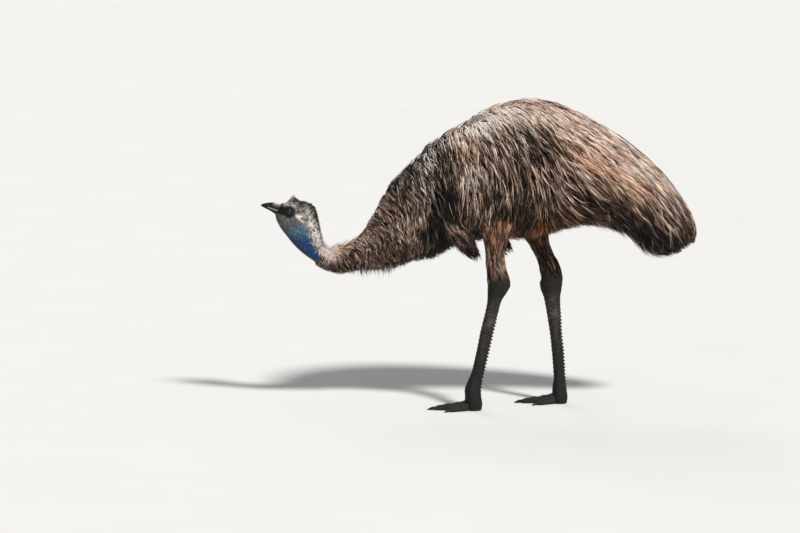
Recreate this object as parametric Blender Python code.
"""A life-size adult emu as a still model: it wades, one foot forward, its neck stretched low ahead of it.

Metres, +Z up. The bill points to -X, so the bird's left side is -Y. The floor is at z = 0.
Head, neck, torso and tail are one long form, described by ribs from the base of the bill to the tail's tip.
Loose feathers cover it as flat tapered locks, and thin cuts part it into nodes. Wings and legs plug into it.
"""

import collections
import math
import random

import bmesh
import bpy
import numpy as np
from mathutils import Matrix, Vector

GAP = 0.0003
LEFT = Vector((0, -1, 0))
UP = Vector((0, 0, 1))

# A rib is one cross-section of a limb or of the body: an ellipse that stands on the line between two points
# of the side outline. low is the belly, throat or front end of that line, high the back, nape or rear end.
# coat is how deep the feathers lie over the core there. fall is the angle in degrees at which feathers on
# the flank leave the line of the body and hang down. y is how far the rib stands from the bird's middle.
Rib = collections.namedtuple("Rib", "low_x low_z high_x high_z half_width coat fall y", defaults=(0, 0, 0))

BODY = (
    Rib(-0.714, 0.672, -0.686, 0.710, 0.0195, 0.000, 0),
    Rib(-0.711, 0.656, -0.660, 0.718, 0.0285, 0.000, 5),
    Rib(-0.702, 0.635, -0.618, 0.717, 0.0345, 0.000, 10),
    Rib(-0.688, 0.614, -0.583, 0.702, 0.0370, 0.000, 10),
    Rib(-0.670, 0.591, -0.569, 0.677, 0.0370, 0.000, 10),
    Rib(-0.649, 0.564, -0.562, 0.642, 0.0360, 0.001, 12),
    Rib(-0.625, 0.539, -0.553, 0.603, 0.036, 0.002, 16),
    Rib(-0.597, 0.515, -0.541, 0.571, 0.036, 0.004, 24),
    Rib(-0.565, 0.490, -0.523, 0.559, 0.038, 0.007, 34),
    Rib(-0.527, 0.471, -0.499, 0.564, 0.043, 0.012, 45),
    Rib(-0.481, 0.460, -0.471, 0.575, 0.051, 0.015, 55),
    Rib(-0.425, 0.455, -0.436, 0.592, 0.061, 0.018, 65),
    Rib(-0.362, 0.451, -0.404, 0.621, 0.075, 0.020, 80),
    Rib(-0.296, 0.462, -0.369, 0.684, 0.093, 0.024, 92),
    Rib(-0.222, 0.497, -0.320, 0.772, 0.116, 0.026, 98),
    Rib(-0.138, 0.533, -0.250, 0.846, 0.142, 0.028, 100),
    Rib(-0.061, 0.575, -0.166, 0.931, 0.170, 0.030, 97),
    Rib(0.030, 0.590, -0.054, 1.000, 0.194, 0.030, 90),
    Rib(0.121, 0.592, 0.061, 1.060, 0.211, 0.030, 78),
    Rib(0.215, 0.599, 0.205, 1.079, 0.219, 0.030, 62),
    Rib(0.303, 0.624, 0.348, 1.028, 0.215, 0.030, 42),
    Rib(0.387, 0.633, 0.474, 0.956, 0.200, 0.032, 24),
    Rib(0.460, 0.624, 0.583, 0.874, 0.178, 0.034, 12),
    Rib(0.520, 0.596, 0.667, 0.786, 0.150, 0.036, 8),
    Rib(0.565, 0.554, 0.723, 0.709, 0.120, 0.036, 5),
    Rib(0.607, 0.532, 0.758, 0.624, 0.088, 0.030, 3),
    Rib(0.674, 0.532, 0.751, 0.568, 0.045, 0.020, 0),
)
EGG = 0.06  # how much wider the body is below its middle than above it
BODY_SIDES = 16

# Where the body is parted, counted in ribs. The tail's core stops short and only its feathers go on.
HEAD_END, THROAT_END, NECK_MIDDLE_END, NECK_END = 4.5, 8.5, 11.3, 13.5
CHEST_END, BACK_END, TAIL_CORE_END = 17.3, 21.5, 24.4
PARTS = (
    ("head", 0.0, HEAD_END),
    ("neck_upper", HEAD_END, THROAT_END),
    ("neck_middle", THROAT_END, NECK_MIDDLE_END),
    ("neck_base", NECK_MIDDLE_END, NECK_END),
    ("torso_front", NECK_END, CHEST_END),
    ("torso_rear", CHEST_END, BACK_END),
    ("tail", BACK_END, None),
)

# Locks over a stretch of the body: the first and last place of their roots, how far from the back they grow
# in degrees, their length and width, the least spacing of roots along and across the lie, and how far the
# tips stand out.
Coat = collections.namedtuple("Coat", "start end reach length width along across proud")
COATS = (
    Coat(0.9, 2.8, 40, 0.024, 0.008, 0.020, 0.015, 0.010),
    Coat(3.0, 8.2, 55, 0.034, 0.015, 0.032, 0.023, 0.006),
    Coat(8.0, 10.4, 180, 0.080, 0.038, 0.058, 0.038, 0.006),
    Coat(10.4, 12.9, 180, 0.115, 0.060, 0.085, 0.056, 0.006),
    Coat(13.0, 21.2, 5, 0.190, 0.080, 0.085, 0.080, 0.002),
    Coat(12.9, 21.2, 180, 0.235, 0.088, 0.172, 0.082, 0.004),
    Coat(21.2, 24.3, 180, 0.220, 0.076, 0.105, 0.065, 0.003),
)
COAT_SEED = 7
# One lock from root to tip: share of its length, share of its width, and half its thickness.
LONG_LOCK = (
    (0.0, 0.60, 0.007),
    (0.28, 0.95, 0.008),
    (0.58, 1.0, 0.006),
    (0.84, 0.62, 0.004),
    (1.0, 0.0, 0.0),
)
SHORT_LOCK = ((0.0, 0.70, 0.006), (0.40, 1.0, 0.006), (0.78, 0.70, 0.004), (1.0, 0.0, 0.0))
LONG_LOCK_OVER = 0.05  # a lock longer than this has the long pattern
LOCK_ROOT_DEPTH = 0.008  # how far a lock's root is sunk in the core
FULL_THICKNESS_WIDTH = 0.05  # narrower locks are thinner in proportion
SURFACED = 0.65  # the share of a lock's length at which it has risen to the top of the coat
EDGE_DROOP = 0.06  # how far a lock's edges hang below its middle, as a share of half its width
ROOT_TRIES = 4000  # how many places are tried for roots on each stretch

# The whole bill, which the gape parts into its two halves. It starts where the head does.
BILL = (
    Rib(-0.7140, 0.6720, -0.6860, 0.7100, 0.0195),
    Rib(-0.7235, 0.6790, -0.7035, 0.7130, 0.0178),
    Rib(-0.7370, 0.6870, -0.7245, 0.7132, 0.0150),
    Rib(-0.7500, 0.6935, -0.7425, 0.7120, 0.0112),
    Rib(-0.7590, 0.6985, -0.7570, 0.7088, 0.0070),
    Rib(-0.7650, 0.7020, -0.7640, 0.7055, 0.0028),
)
GAPE_TIP, GAPE_BASE = Vector((-0.7655, 0, 0.7035)), Vector((-0.7000, 0, 0.6808))
GAPE_GAP = 0.0008
LOWER_BILL_SHORTER = 0.004  # the upper bill's nail reaches past the lower bill
NOSTRIL = Vector((-0.731, 0, 0.7045))
NOSTRIL_LENGTH, NOSTRIL_HEIGHT, NOSTRIL_DEPTH = 0.011, 0.0035, 0.003
NOSTRIL_ASIDE, NOSTRIL_TILT = 0.0156, 14  # distance from the middle, and slope in degrees
MOUTH_LINE = (Vector((-0.7085, 0, 0.6838)), Vector((-0.6800, 0, 0.6700)))
MOUTH_LINE_WIDTH, MOUTH_LINE_DEPTH = 0.0014, 0.0022

EYE = Vector((-0.665, 0, 0.684))
EYE_RADIUS = 0.0125
EYE_SHOWS = 0.0045  # how far the ball stands out of the side of the head
LID_RADIUS, LID_THICKNESS, LID_PROUD = 0.0103, 0.0028, 0.0005
EAR = Vector((-0.621, 0, 0.659))
EAR_RADIUS, EAR_RIM, EAR_HOLE_RADIUS = 0.0055, 0.0018, 0.0045

# The small wings hang limp under the breast, the right one further back. Only their upper part has a core.
WING = (
    Rib(-0.165, 0.690, -0.105, 0.735, 0.018, 0.004, 0, -0.118),
    Rib(-0.128, 0.640, -0.068, 0.675, 0.022, 0.006, 0, -0.120),
    Rib(-0.085, 0.585, -0.035, 0.615, 0.020, 0.008, 0, -0.113),
    Rib(-0.052, 0.548, -0.015, 0.570, 0.016, 0.007, 0, -0.105),
    Rib(-0.018, 0.520, 0.004, 0.531, 0.010, 0.004, 0, -0.101),
)
WING_CORE_END = 2.9
WING_LOCK_LENGTH, WING_LOCK_WIDTH = 0.085, 0.024
WING_POCKET_ROOM = 0.004
RIGHT_WING_BACK = 0.112

# A leg's ribs run from the hip down, with the front of the leg as low and its rear as high.
LEFT_SHANK = (
    Rib(-0.020, 0.690, 0.135, 0.690, 0.056, y=-0.100),
    Rib(-0.006, 0.640, 0.122, 0.640, 0.054, y=-0.106),
    Rib(0.012, 0.595, 0.098, 0.595, 0.044, y=-0.112),
    Rib(0.019, 0.560, 0.086, 0.560, 0.036, y=-0.117),
    Rib(0.020, 0.520, 0.085, 0.520, 0.031, y=-0.122),
    Rib(0.024, 0.485, 0.093, 0.485, 0.028, y=-0.126),
    Rib(0.026, 0.450, 0.102, 0.450, 0.027, y=-0.128),
    Rib(0.026, 0.430, 0.104, 0.430, 0.026, y=-0.129),
)
LEFT_TARSUS = (
    Rib(0.026, 0.470, 0.101, 0.470, 0.0255, y=-0.127),
    Rib(0.026, 0.442, 0.105, 0.442, 0.0265, y=-0.128),
    Rib(0.026, 0.421, 0.098, 0.421, 0.0250, y=-0.129),
    Rib(0.025, 0.386, 0.076, 0.386, 0.0205, y=-0.130),
    Rib(0.019, 0.350, 0.065, 0.350, 0.0180, y=-0.130),
    Rib(0.002, 0.280, 0.047, 0.280, 0.0165, y=-0.130),
    Rib(-0.012, 0.209, 0.031, 0.209, 0.0165, y=-0.130),
    Rib(-0.028, 0.139, 0.015, 0.139, 0.0175, y=-0.130),
    Rib(-0.042, 0.104, 0.007, 0.104, 0.0205, y=-0.130),
    Rib(-0.053, 0.075, 0.003, 0.075, 0.0265, y=-0.130),
    Rib(-0.052, 0.048, 0.005, 0.048, 0.0290, y=-0.130),
    Rib(-0.052, 0.020, 0.009, 0.020, 0.0295, y=-0.130),
    Rib(-0.046, -0.006, 0.004, -0.006, 0.0260, y=-0.130),
)
RIGHT_SHANK = (
    Rib(0.105, 0.690, 0.250, 0.690, 0.056, y=0.098),
    Rib(0.125, 0.640, 0.246, 0.640, 0.054, y=0.092),
    Rib(0.148, 0.595, 0.242, 0.595, 0.045, y=0.083),
    Rib(0.175, 0.560, 0.247, 0.560, 0.037, y=0.075),
    Rib(0.196, 0.523, 0.262, 0.523, 0.031, y=0.066),
    Rib(0.209, 0.490, 0.281, 0.490, 0.028, y=0.058),
    Rib(0.215, 0.460, 0.291, 0.460, 0.027, y=0.052),
    Rib(0.218, 0.440, 0.293, 0.440, 0.026, y=0.048),
)
RIGHT_TARSUS = (
    Rib(0.213, 0.470, 0.288, 0.470, 0.0255, y=0.054),
    Rib(0.218, 0.445, 0.292, 0.445, 0.0265, y=0.050),
    Rib(0.213, 0.424, 0.292, 0.424, 0.0265, y=0.046),
    Rib(0.217, 0.399, 0.289, 0.399, 0.0240, y=0.043),
    Rib(0.229, 0.364, 0.285, 0.364, 0.0195, y=0.040),
    Rib(0.239, 0.329, 0.284, 0.329, 0.0175, y=0.038),
    Rib(0.247, 0.258, 0.289, 0.258, 0.0165, y=0.034),
    Rib(0.255, 0.188, 0.296, 0.188, 0.0165, y=0.032),
    Rib(0.261, 0.117, 0.301, 0.117, 0.0180, y=0.030),
    Rib(0.262, 0.085, 0.303, 0.085, 0.0220, y=0.030),
    Rib(0.258, 0.058, 0.307, 0.058, 0.0265, y=0.030),
    Rib(0.258, 0.020, 0.312, 0.020, 0.0290, y=0.030),
    Rib(0.263, -0.006, 0.308, -0.006, 0.0260, y=0.030),
)
SHANK_END = 0.457  # height at which feathers give way to bare scaly skin
BALL_START = 9  # the rib of a tarsus at which the ball of the foot begins
SCUTES, SCUTE_TOP, SCUTE_BOTTOM, SCUTE_RISE = 13, 0.400, 0.085, 0.0016
FOOT_CENTRE = {"left": Vector((-0.024, -0.130, 0)), "right": Vector((0.283, 0.030, 0))}
INWARD = {"left": 1, "right": -1}  # the way to the other foot along Y

# Toes are drawn pointing along -X from the middle of the ball of the foot: distance, height, half width.
MIDDLE_TOE = (
    (0.010, 0.044, 0.0160),
    (0.040, 0.031, 0.0170),
    (0.058, 0.029, 0.0165),
    (0.072, 0.024, 0.0145),
    (0.092, 0.024, 0.0145),
    (0.104, 0.020, 0.0125),
    (0.120, 0.018, 0.0115),
    (0.132, 0.013, 0.0075),
)
SIDE_TOE = (
    (0.010, 0.038, 0.0130),
    (0.034, 0.026, 0.0145),
    (0.050, 0.024, 0.0140),
    (0.062, 0.020, 0.0120),
    (0.078, 0.019, 0.0115),
    (0.090, 0.012, 0.0070),
)
TOES = {"inner": (SIDE_TOE, 33), "middle": (MIDDLE_TOE, 0), "outer": (SIDE_TOE, -31)}
SOLE_CUT = 0.004  # how much of each round toe is pressed flat by the floor
CLAW_LENGTH, CLAW_HEIGHT, CLAW_HALF_WIDTH, CLAW_RAISED = 0.028, 0.011, 0.0055, 0.001
# A claw from its base to its point: share of its length, height of its underside, and shares of its height and
# width. The underside of the base comes from the toe that the claw stands on.
CLAW_SHAPE = (
    (0.0, None, 1.0, 1.0),
    (0.4, 0.0016, 0.9, 0.85),
    (0.8, 0.0008, 0.45, 0.5),
    (1.0, 0.0006, 0.15, 0.2),
)
FAR_OUT = 2.0  # a cutter reaches this far, past the whole bird


# Places on ribs
def smooth_value(values, place):
    """The values at a place between rows, on a smooth curve through all rows."""
    rows = np.array(values, float)
    last = len(rows) - 1
    place = min(max(place, 0.0), float(last))
    row = min(int(place), last - 1)
    t = place - row
    before, start, end, after = (rows[min(max(k, 0), last)] for k in (row - 1, row, row + 1, row + 2))
    slope_in, slope_out = (end - before) / 2, (after - start) / 2
    return (
        start * (2 * t**3 - 3 * t**2 + 1)
        + slope_in * (t**3 - 2 * t**2 + t)
        + end * (3 * t**2 - 2 * t**3)
        + slope_out * (t**3 - t**2)
    )


def rib_at(ribs, place):
    return Rib(*smooth_value(ribs, place))


def surface_point(ribs, place, angle, lift=0.0):
    """A point above the core. angle is 0 on the back and half a turn on the belly, positive on the left."""
    rib = rib_at(ribs, place)
    low = Vector((rib.low_x, rib.y, rib.low_z))
    high = Vector((rib.high_x, rib.y, rib.high_z))
    half = (high - low) / 2
    height = half.length - rib.coat + lift
    width = (rib.half_width - rib.coat + lift) * (1 - EGG * math.cos(angle))
    middle = (low + high) / 2
    return middle + half.normalized() * height * math.cos(angle) + LEFT * width * math.sin(angle)


def rib_plane(ribs, place):
    """A point on the plane of a rib, and the plane's normal towards the next rib."""
    rib = rib_at(ribs, place)
    low = Vector((rib.low_x, rib.y, rib.low_z))
    high = Vector((rib.high_x, rib.y, rib.high_z))
    normal = (high - low).normalized().cross(Vector((0, 1, 0)))
    ahead = surface_point(ribs, place + 0.1, math.pi / 2) - surface_point(ribs, place - 0.1, math.pi / 2)
    return (low + high) / 2, normal if normal.dot(ahead) > 0 else -normal


def side_place(x, z, side):
    """The place and angle on the body's side, -1 left or 1 right, that is at this x and z in side view."""
    best = None
    for k in range(90):
        place = k / 20
        centre, normal = rib_plane(BODY, place)
        rib = rib_at(BODY, place)
        half = Vector((rib.high_x - rib.low_x, 0, rib.high_z - rib.low_z)) / 2
        miss = abs((Vector((x, 0, z)) - centre).dot(normal))
        share = (Vector((x, 0, z)) - centre).dot(half.normalized()) / half.length
        if abs(share) < 1 and (best is None or miss < best[0]):
            best = (miss, place, math.acos(share))
    return best[1], -side * best[2]


def side_point(x, z, side):
    """The point of the head's side at this x and z in side view."""
    place, angle = side_place(x, z, side)
    return surface_point(BODY, place, angle, rib_at(BODY, place).coat)


def steps(start, end, count):
    return [start + (end - start) * k / count for k in range(count + 1)]


# Simple solids
def helper_collection(name):
    made = bpy.data.collections.new(name)
    bpy.context.scene.collection.children.link(made)
    return made


def add_object(name, bm, collection=None):
    bmesh.ops.recalc_face_normals(bm, faces=bm.faces)
    mesh = bpy.data.meshes.new(name)
    bm.to_mesh(mesh)
    bm.free()
    made = bpy.data.objects.new(name, mesh)
    (collection or bpy.context.scene.collection).objects.link(made)
    return made


def skin_rings(bm, rings, closed=False):
    """Joins rings of points into a tube. All its squares are split the same way, so that a tube and a
    slightly larger copy of it never cross. closed joins the last ring to the first."""
    grid = [[bm.verts.new(place) for place in ring] for ring in rings]
    pairs = list(zip(grid, grid[1:]))
    if closed:
        pairs.append((grid[-1], grid[0]))
    for first, second in pairs:
        for k in range(len(first)):
            bm.faces.new((first[k - 1], first[k], second[k]))
            bm.faces.new((first[k - 1], second[k], second[k - 1]))
    return grid


def tube(name, rings, collection=None):
    """A tube through rings, with flat ends."""
    bm = bmesh.new()
    grid = skin_rings(bm, rings)
    for ring in (grid[0], grid[-1]):
        bmesh.ops.triangulate(bm, faces=[bm.faces.new(ring)])
    return add_object(name, bm, collection)


def limb(name, ribs, places, sides, lift=0.0, coated=False):
    """A tube along ribs. coated makes it as thick as its feathers reach."""
    rings = []
    for place in places:
        extra = lift + (rib_at(ribs, place).coat if coated else 0)
        ends = -lift if place == places[0] else lift if place == places[-1] else 0
        push = rib_plane(ribs, place)[1] * ends
        turns = [math.tau * (s + 0.5) / sides for s in range(sides)]
        rings.append([surface_point(ribs, place, angle, extra) + push for angle in turns])
    return tube(name, rings)


def ball(name, centre, radii, segments, rings, turn=0.0, collection=None):
    """A ball or a longer round form, turned about Y."""
    bm = bmesh.new()
    bmesh.ops.create_uvsphere(bm, u_segments=segments, v_segments=rings, radius=1.0)
    bmesh.ops.rotate(bm, verts=bm.verts, matrix=Matrix.Rotation(math.pi / 2, 3, "X"))
    bmesh.ops.scale(bm, verts=bm.verts, vec=radii)
    bmesh.ops.rotate(bm, verts=bm.verts, matrix=Matrix.Rotation(turn, 3, "Y"))
    bmesh.ops.translate(bm, verts=bm.verts, vec=centre)
    return add_object(name, bm, collection)


def hoop(name, centre, axis, radius, thickness, segments, sides, collection):
    """A ring of round section about an axis, for an eyelid or the rim of an ear."""
    turn = axis.to_track_quat("Z", "Y").to_matrix()
    rings = []
    for k in range(segments):
        out = Vector((math.cos(math.tau * k / segments), math.sin(math.tau * k / segments), 0))
        ring = []
        for s in range(sides):
            round_angle = math.tau * s / sides
            away = out * (radius + thickness * math.cos(round_angle))
            ring.append(centre + turn @ (away + UP * thickness * math.sin(round_angle)))
        rings.append(ring)
    bm = bmesh.new()
    skin_rings(bm, rings, closed=True)
    return add_object(name, bm, collection)


def space_below(height):
    """A block that fills everything below a height."""
    bm = bmesh.new()
    bmesh.ops.create_cube(bm, size=2 * FAR_OUT)
    bmesh.ops.translate(bm, verts=bm.verts, vec=(0, 0, height - FAR_OUT))
    return add_object("below", bm)


def body_space(start, end):
    """The space between two ribs of the body, cut back by half a gap at each, to part a node from its
    neighbours. With None for an end the space stays open there."""
    reach, far, side = 0.09, 0.6, LEFT * 0.5
    rings = []
    for place, sign in ((start, 1), (end, -1)):
        known = place if place is not None else end if sign > 0 else start
        rib = rib_at(BODY, known)
        normal = rib_plane(BODY, known)[1]
        low = Vector((rib.low_x, 0, rib.low_z))
        high = Vector((rib.high_x, 0, rib.high_z))
        along = (high - low).normalized()
        shift = normal * sign * (GAP / 2 if place is not None else -far)
        bottom, top = low - along * reach + shift, high + along * reach + shift
        rings.append([bottom - side, top - side, top + side, bottom + side])
    return tube("space", rings)


# Joining and cutting
def boolean(target, operation, other):
    """Applies one Boolean with an object, or a union with all objects of a collection, and removes them."""
    modifier = target.modifiers.new(operation.lower(), "BOOLEAN")
    modifier.operation = operation
    modifier.solver = "EXACT"
    many = isinstance(other, bpy.types.Collection)
    if many:
        modifier.operand_type = "COLLECTION"
        modifier.collection = other
    else:
        modifier.object = other
    graph = bpy.context.evaluated_depsgraph_get()
    result = bpy.data.meshes.new_from_object(target.evaluated_get(graph))
    target.modifiers.clear()
    target.data = result
    for used in list(other.objects) if many else [other]:
        bpy.data.objects.remove(used)
    if many:
        bpy.data.collections.remove(other)
    keep_largest_surface(target)


def keep_largest_surface(target):
    """Drops scraps and the walls of sealed hollows that a union can leave."""
    bm = bmesh.new()
    bm.from_mesh(target.data)
    bmesh.ops.remove_doubles(bm, verts=bm.verts, dist=1e-6)
    unseen, surfaces = set(bm.faces), []
    while unseen:
        grown = [unseen.pop()]
        for face in grown:
            for edge in face.edges:
                for other in edge.link_faces:
                    if other in unseen:
                        unseen.discard(other)
                        grown.append(other)
        surfaces.append(grown)
    for loose in sorted(surfaces, key=len)[:-1]:
        bmesh.ops.delete(bm, geom=loose, context="FACES")
    bmesh.ops.triangulate(bm, faces=bm.faces)
    bm.to_mesh(target.data)
    bm.free()


def colour(target, name, rgb, roughness):
    """Gives a part its own material and smooth shading."""
    material = bpy.data.materials.get(name) or bpy.data.materials.new(name)
    material.use_nodes = True
    shader = material.node_tree.nodes["Principled BSDF"]
    shader.inputs["Base Color"].default_value = (*rgb, 1)
    shader.inputs["Roughness"].default_value = roughness
    target.data.materials.clear()
    target.data.materials.append(material)
    target.data.shade_smooth()
    target.data.set_sharp_from_angle(angle=math.radians(35))


# Feathers
def lie_at(ribs, place, angle):
    """The lie of the feathers: how place and angle change per metre along it, and across it."""
    coat = rib_at(ribs, place).coat
    step = 0.001 if place < len(ribs) - 1.1 else -0.001
    here = surface_point(ribs, place, angle, coat)
    along = (surface_point(ribs, place + step, angle, coat) - here) / step
    around = (surface_point(ribs, place, angle + 0.001, coat) - here) / 0.001
    forward = along.normalized()
    sideways = (around - forward * around.dot(forward)).normalized()
    turn = math.radians(rib_at(ribs, place).fall) * max(-1, min(1, 1.6 * math.sin(angle)))
    lie = forward * math.cos(turn) + sideways * math.sin(turn)
    across = sideways * math.cos(turn) - forward * math.sin(turn)
    shape = np.array([[along.dot(along), along.dot(around)], [along.dot(around), around.dot(around)]])
    return [np.linalg.solve(shape, np.array([along.dot(way), around.dot(way)])) for way in (lie, across)]


def lock(ribs, place, angle, length, width, proud, collection):
    """A flat tapered lock of feathers. Its root is sunk in the core, it rises through the coat while it
    follows the lie, and its tip stands a little proud of the coat."""
    sunk = min(LOCK_ROOT_DEPTH, width / 4)
    size = min(1.0, width / FULL_THICKNESS_WIDTH)
    rings, done = [], 0.0
    for share, wide, thick in LONG_LOCK if length > LONG_LOCK_OVER else SHORT_LOCK:
        along, across = lie_at(ribs, place, angle)
        place = min(place + along[0] * length * (share - done), len(ribs) - 1.0)
        angle += along[1] * length * (share - done)
        done = share
        lift = min(1.0, share / SURFACED) * (rib_at(ribs, place).coat + sunk) - sunk + proud * share**2
        middle = surface_point(ribs, place, angle, lift)
        if not wide:
            break
        half = width / 2 * wide
        edges = [surface_point(ribs, place + across[0] * s, angle + across[1] * s, lift - EDGE_DROOP * half)
                 for s in (-half, half)]
        out = (surface_point(ribs, place, angle, lift + 0.01) - middle).normalized() * thick * size
        rings.append([edges[0], middle + out, edges[1], middle - out])
    bm = bmesh.new()
    grid = [[bm.verts.new(corner) for corner in ring] for ring in rings]
    for first, second in zip(grid, grid[1:]):
        for k in range(4):
            # Both sides of the lock are split from the same edge, so that they never cross.
            a, b, c, d = first[k - 1], first[k], second[k], second[k - 1]
            bm.faces.new((a, b, c) if k % 2 else (a, b, d))
            bm.faces.new((a, c, d) if k % 2 else (b, c, d))
    tip = bm.verts.new(middle)
    for k in range(4):
        bm.faces.new((grid[-1][k - 1], grid[-1][k], tip))
    root = grid[0]
    bm.faces.new((root[0], root[1], root[3]))
    bm.faces.new((root[1], root[2], root[3]))
    return add_object("lock", bm, collection)


def add_coat(coat, draw, collection):
    """Spreads locks evenly over a stretch of the body. No two roots are closer than the spacing."""
    roots = []
    for _ in range(ROOT_TRIES):
        place = draw.uniform(coat.start, coat.end)
        angle = math.radians(draw.uniform(-coat.reach, coat.reach))
        here = surface_point(BODY, place, angle)
        near = False
        for root, way in roots:
            run = (here - root).dot(way)
            aside = (here - root - way * run).length
            if (run / coat.along) ** 2 + (aside / coat.across) ** 2 < 1:
                near = True
                break
        if near:
            continue
        along = lie_at(BODY, place, angle)[0]
        ahead = surface_point(BODY, place + along[0] * 0.01, angle + along[1] * 0.01)
        roots.append((here, (ahead - here).normalized()))
        size = draw.uniform(0.85, 1.1)
        lock(BODY, place, angle, coat.length * size, coat.width * draw.uniform(0.85, 1.1),
             coat.proud * draw.uniform(0.3, 1.0), collection)


# Head, neck, torso and tail
def eyeball(side, name, radius, collection=None):
    centre = Vector((EYE.x, side_point(EYE.x, EYE.z, side).y + side * (EYE_SHOWS - EYE_RADIUS), EYE.z))
    ball(name, centre, Vector((radius,) * 3), 12, 8, collection=collection)
    return centre


def add_face(side, extras, cuts):
    """The lids and ear rim of one side of the head, and cutters for eye socket, ear hole and mouth line."""
    centre = eyeball(side, "socket", EYE_RADIUS + GAP, cuts)
    out = Vector((-0.15, side, 0.1)).normalized()
    rim = centre + out * (EYE_RADIUS - EYE_SHOWS + LID_PROUD)
    hoop("lid", rim, out, LID_RADIUS, LID_THICKNESS, 12, 4, extras)
    ear = side_point(EAR.x, EAR.z, side)
    hoop("ear_rim", ear, Vector((0.1, side, 0.1)).normalized(), EAR_RADIUS, EAR_RIM, 8, 4, extras)
    ball("ear_hole", ear, Vector((EAR_HOLE_RADIUS,) * 3), 8, 6, collection=cuts)
    groove = []
    for share in steps(0, 1, 5):
        point = MOUTH_LINE[0].lerp(MOUTH_LINE[1], share)
        rim = side_point(point.x, point.z, side)
        depth = Vector((0, side * MOUTH_LINE_DEPTH, 0)) * (1 - 0.7 * share)
        half = UP * MOUTH_LINE_WIDTH / 2
        groove.append([rim - depth, rim + half, rim + depth, rim - half])
    tube("mouth_line", groove, cuts)


def build_body():
    places = steps(0.0, 4.4, 9) + steps(4.9, 8.4, 5) + steps(9.1, TAIL_CORE_END, 16)
    body = limb("body", BODY, places, BODY_SIDES)
    extras = helper_collection("extras")
    cuts = helper_collection("cuts")
    for side in (-1, 1):
        add_face(side, extras, cuts)
    for number, coat in enumerate(COATS):
        add_coat(coat, random.Random(COAT_SEED + number), extras)
    boolean(body, "UNION", extras)
    made = {}
    for name, start, end in PARTS:
        part = made[name] = body.copy()
        part.name = name
        part.data = body.data.copy()
        bpy.context.scene.collection.objects.link(part)
        boolean(part, "INTERSECT", body_space(start, end))
        colour(part, "plumage", (0.16, 0.12, 0.09), 0.9)
    bpy.data.objects.remove(body)
    for cutter in list(cuts.objects):
        boolean(made["head"], "DIFFERENCE", cutter)
    bpy.data.collections.remove(cuts)
    colour(made["head"], "head skin", (0.42, 0.38, 0.33), 0.7)
    colour(made["neck_upper"], "throat skin", (0.10, 0.19, 0.27), 0.6)
    for side, word in ((-1, "left"), (1, "right")):
        eyeball(side, "eye_" + word, EYE_RADIUS)
        colour(bpy.data.objects["eye_" + word], "eye", (0.12, 0.04, 0.02), 0.1)
    return made


def build_bill():
    """One form, parted by the gape. The lower half ends short of the upper one's nail."""
    along = (GAPE_TIP - GAPE_BASE).normalized()
    up = along.cross(Vector((0, 1, 0)))
    up = up if up.z > 0 else -up
    for name, sign, short in (("bill_upper", 1, 0.0), ("bill_lower", -1, LOWER_BILL_SHORTER)):
        half = limb(name, BILL, steps(0, len(BILL) - 1, 7), 12)
        gape = []
        for end in (GAPE_BASE - along * 0.05, GAPE_TIP + along * (0.02 if sign > 0 else -short)):
            near = end + up * sign * GAPE_GAP / 2
            far = end + up * sign * 0.05
            gape.append([near - LEFT * 0.05, far - LEFT * 0.05, far + LEFT * 0.05, near + LEFT * 0.05])
        boolean(half, "INTERSECT", tube("gape", gape))
        boolean(half, "INTERSECT", body_space(None, 0.0))
        if sign > 0:
            radii = Vector((NOSTRIL_LENGTH / 2, NOSTRIL_DEPTH, NOSTRIL_HEIGHT / 2))
            for side in (-1, 1):
                centre = NOSTRIL + Vector((0, side * NOSTRIL_ASIDE, 0))
                boolean(half, "DIFFERENCE", ball("nostril", centre, radii, 8, 6, math.radians(NOSTRIL_TILT)))
        colour(half, "bill horn", (0.045, 0.04, 0.04), 0.35)


# Wings
def build_wing(word, ribs, body):
    """A wing's core with hanging locks, and the pocket it plugs into."""
    places = steps(0, WING_CORE_END, 5)
    for host in ("torso_front", "torso_rear"):
        pocket = limb("pocket", ribs, steps(0, len(ribs) - 1, 6), 10, WING_POCKET_ROOM, True)
        boolean(body[host], "DIFFERENCE", pocket)
    wing = limb("wing_" + word, ribs, places, 10)
    locks = helper_collection("wing_locks")
    for row, start in enumerate((1.0, 1.9, 2.7)):
        for turn in (0, 1, 2):
            angle = math.tau * (turn + 0.5 * (row % 2)) / 3
            lock(ribs, start, angle, WING_LOCK_LENGTH, WING_LOCK_WIDTH, 0.0, locks)
    boolean(wing, "UNION", locks)
    colour(wing, "plumage", (0.16, 0.12, 0.09), 0.9)


# Legs and feet
def leg_with_scutes(name, ribs):
    """The bare part of a leg. Plates step out along its front, and lesser ones notch its rear edge."""
    count = len(ribs) - 1
    heights = [rib_at(ribs, k / 50).low_z for k in range(50 * count + 1)]
    edges = steps(SCUTE_TOP, SCUTE_BOTTOM, SCUTES)
    stations = [(k, 0.0) for k in steps(0, 2.3, 4)]
    for edge in edges:
        place = min(range(len(heights)), key=lambda k: abs(heights[k] - edge)) / 50
        stations += [(place - 0.02, 1.0), (place + 0.04, 0.0)]
    stations += [(k, 0.0) for k in steps(BALL_START + 0.3, count, 5)]
    rings, sides = [], 10
    for place, raised in stations:
        ring = []
        for s in range(sides):
            angle = math.tau * (s + 0.5) / sides
            front = max(0.0, -math.cos(angle)) + 0.5 * max(0.0, math.cos(angle) - 0.5)
            ring.append(surface_point(ribs, place, angle, SCUTE_RISE * raised * front))
        rings.append(ring)
    return tube(name, rings)


def toe_ribs(rows):
    return tuple(Rib(-x, -SOLE_CUT, -x, height, width) for x, height, width in rows)


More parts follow.
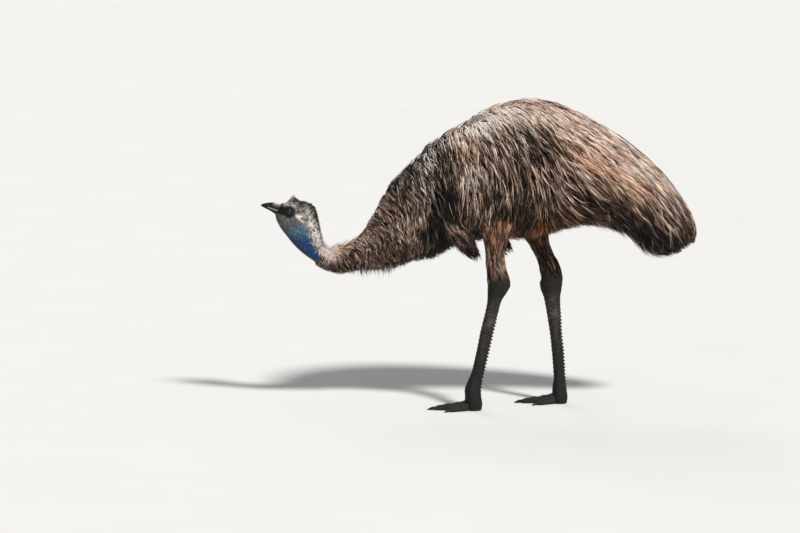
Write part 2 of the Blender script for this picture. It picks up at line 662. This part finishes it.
def placed(target, side, turn):
    """Turns a toe or claw about the ball of the foot and sets it at its foot."""
    target.data.transform(Matrix.Rotation(math.radians(turn), 4, "Z"))
    target.data.transform(Matrix.Translation(FOOT_CENTRE[side]))
    return target


def build_toe(side, finger, tarsus_ribs):
    rows, splay = TOES[finger]
    turn = -splay * INWARD[side]
    toe = placed(limb(f"toe_{side}_{finger}", toe_ribs(rows), steps(0, len(rows) - 1, 9), 8), side, turn)
    boolean(toe, "DIFFERENCE", space_below(0))
    ball_places = steps(BALL_START + 0.3, len(tarsus_ribs) - 1, 5)
    boolean(toe, "DIFFERENCE", limb("ball", tarsus_ribs, ball_places, 10, GAP))
    if finger != "middle":
        middle = limb("middle", toe_ribs(MIDDLE_TOE), steps(0, len(MIDDLE_TOE) - 1, 9), 8, GAP)
        boolean(toe, "DIFFERENCE", placed(middle, side, 0))
    colour(toe, "leg scales", (0.05, 0.048, 0.045), 0.5)
    start = rows[-1][0] + GAP
    base = rows[-1][1] / 2 - CLAW_HEIGHT / 2 + CLAW_RAISED
    ribs = []
    for share, low, tall, wide in CLAW_SHAPE:
        x = -start - share * CLAW_LENGTH
        low = base if low is None else low
        ribs.append(Rib(x, low, x, low + CLAW_HEIGHT * tall, CLAW_HALF_WIDTH * wide))
    claw = placed(limb(f"claw_{side}_{finger}", ribs, steps(0, 3, 4), 8), side, turn)
    colour(claw, "claw horn", (0.03, 0.028, 0.026), 0.3)


def build_leg(side, shank_ribs, tarsus_ribs, body):
    places = steps(0, len(shank_ribs) - 1, 9)
    for host in ("torso_front", "torso_rear"):
        boolean(body[host], "DIFFERENCE", limb("pocket", shank_ribs, places, 12, GAP))
    shank = limb(f"shank_{side}", shank_ribs, places, 12)
    boolean(shank, "DIFFERENCE", space_below(SHANK_END + GAP / 2))
    colour(shank, "leg plumage", (0.15, 0.11, 0.07), 0.9)

    tarsus = leg_with_scutes(f"tarsus_{side}", tarsus_ribs)
    boolean(tarsus, "INTERSECT", space_below(SHANK_END - GAP / 2))
    boolean(tarsus, "DIFFERENCE", space_below(0))
    colour(tarsus, "leg scales", (0.05, 0.048, 0.045), 0.5)
    for finger in TOES:
        build_toe(side, finger, tarsus_ribs)


def centre_on_floor():
    """Moves everything so that the floor point under the middle of the whole bird is the origin."""
    corners = [corner.co for part in bpy.data.objects for corner in part.data.vertices]
    low = [min(corner[k] for corner in corners) for k in range(3)]
    high = [max(corner[k] for corner in corners) for k in range(3)]
    shift = Vector((-(low[0] + high[0]) / 2, -(low[1] + high[1]) / 2, 0))
    for part in bpy.data.objects:
        part.data.transform(Matrix.Translation(shift))
    print("moved by", [round(value, 4) for value in shift])


def main():
    for old in list(bpy.data.objects):
        bpy.data.objects.remove(old)
    body = build_body()
    build_bill()
    build_wing("left", WING, body)
    right = [rib._replace(low_x=rib.low_x + RIGHT_WING_BACK, high_x=rib.high_x + RIGHT_WING_BACK, y=-rib.y)
             for rib in WING]
    build_wing("right", right, body)
    build_leg("left", LEFT_SHANK, LEFT_TARSUS, body)
    build_leg("right", RIGHT_SHANK, RIGHT_TARSUS, body)
    centre_on_floor()


main()
